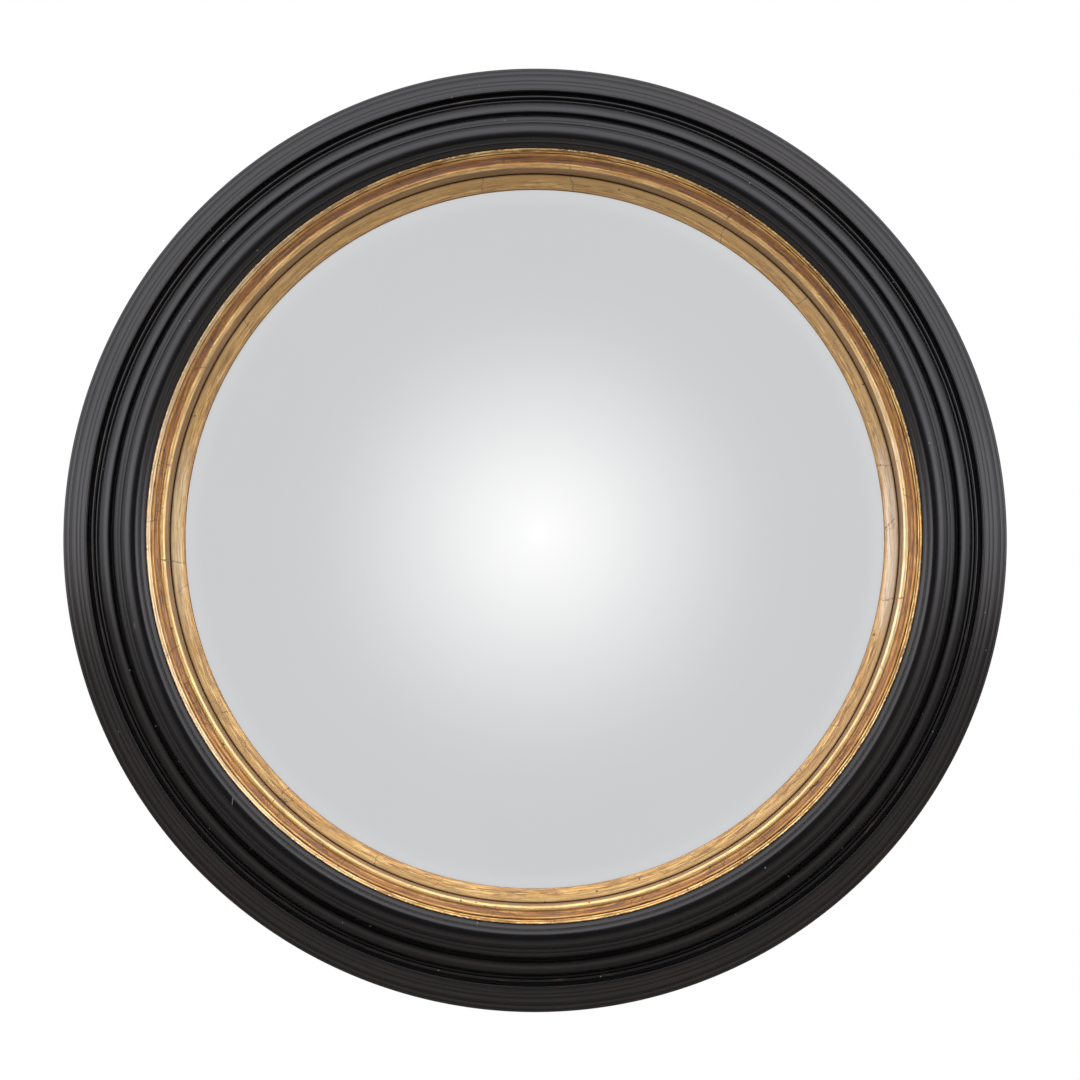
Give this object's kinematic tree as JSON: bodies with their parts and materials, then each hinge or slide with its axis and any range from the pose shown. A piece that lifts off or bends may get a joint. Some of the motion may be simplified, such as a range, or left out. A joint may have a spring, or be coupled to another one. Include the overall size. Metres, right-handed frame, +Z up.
{
  "type": "convex mirror",
  "caption": "Round convex wall mirror in a black reeded turned-wood frame with a gilded inner moulding and slip, hung by two D-rings.",
  "frame": {"origin": "centre of the mirror on the wall plane, which is the plane of the four rubber bumpers' rear faces", "axes": "+Z up, +X to the viewer's right, the mirror faces -Y and the wall is towards +Y"},
  "size_m": [0.75, 0.0708, 0.75],
  "materials": {
    "black_lacquer": "satin black lacquer over turned softwood, fine turning lines, small rubs",
    "gilding": "rubbed gold-coloured leaf over red-brown ground on turned wood, lap lines and brushed streaks",
    "mirror_glass": "silvered convex glass",
    "felt": "thin black felt",
    "foam": "grey foam strip",
    "spacer_ply": "plain plywood",
    "backing_board": "smooth brown hardboard",
    "brass_screws": "dulled brass",
    "zinc_steel": "zinc-plated steel",
    "zinc_screws": "zinc-plated steel",
    "bumper_rubber": "matt black rubber"
  },
  "bodies": {
    "mirror": {"frame_front_segment_1": "black_lacquer", "frame_front_segment_2": "black_lacquer", "frame_front_segment_3": "black_lacquer", "frame_front_segment_4": "black_lacquer", "frame_front_segment_5": "black_lacquer", "frame_front_segment_6": "black_lacquer", "frame_front_segment_7": "black_lacquer", "frame_front_segment_8": "black_lacquer", "frame_back_segment_1": "black_lacquer", "frame_back_segment_2": "black_lacquer", "frame_back_segment_3": "black_lacquer", "frame_back_segment_4": "black_lacquer", "frame_back_segment_5": "black_lacquer", "frame_back_segment_6": "black_lacquer", "frame_back_segment_7": "black_lacquer", "frame_back_segment_8": "black_lacquer", "gilt_moulding": "gilding", "gilt_slip": "gilding", "glass_felt_strip": "felt", "glass_foam_strip": "foam", "glass_spacer_ring": "spacer_ply", "mirror_glass": "mirror_glass", "backing_board": "backing_board", "backing_screws": "brass_screws", "hanger_strap_right": "zinc_steel", "hanger_strap_left": "zinc_steel", "hanger_screws_right": "zinc_screws", "hanger_screws_left": "zinc_screws", "wall_bumper_upper_right": "bumper_rubber", "wall_bumper_upper_left": "bumper_rubber", "wall_bumper_lower_left": "bumper_rubber", "wall_bumper_lower_right": "bumper_rubber"},
    "d_ring_left": {"d_ring_left": "zinc_steel"},
    "d_ring_right": {"d_ring_right": "zinc_steel"}
  },
  "joints": [
    {"name": "left_ring_swing", "type": "hinge", "parent": "mirror", "child": "d_ring_left", "pos_m": [-0.296, -0.0038, 0.178], "axis": [1, 0, 0], "range_deg": [0, 180]},
    {"name": "right_ring_swing", "type": "hinge", "parent": "mirror", "child": "d_ring_right", "pos_m": [0.296, -0.0038, 0.178], "axis": [1, 0, 0], "range_deg": [0, 180]}
  ]
}
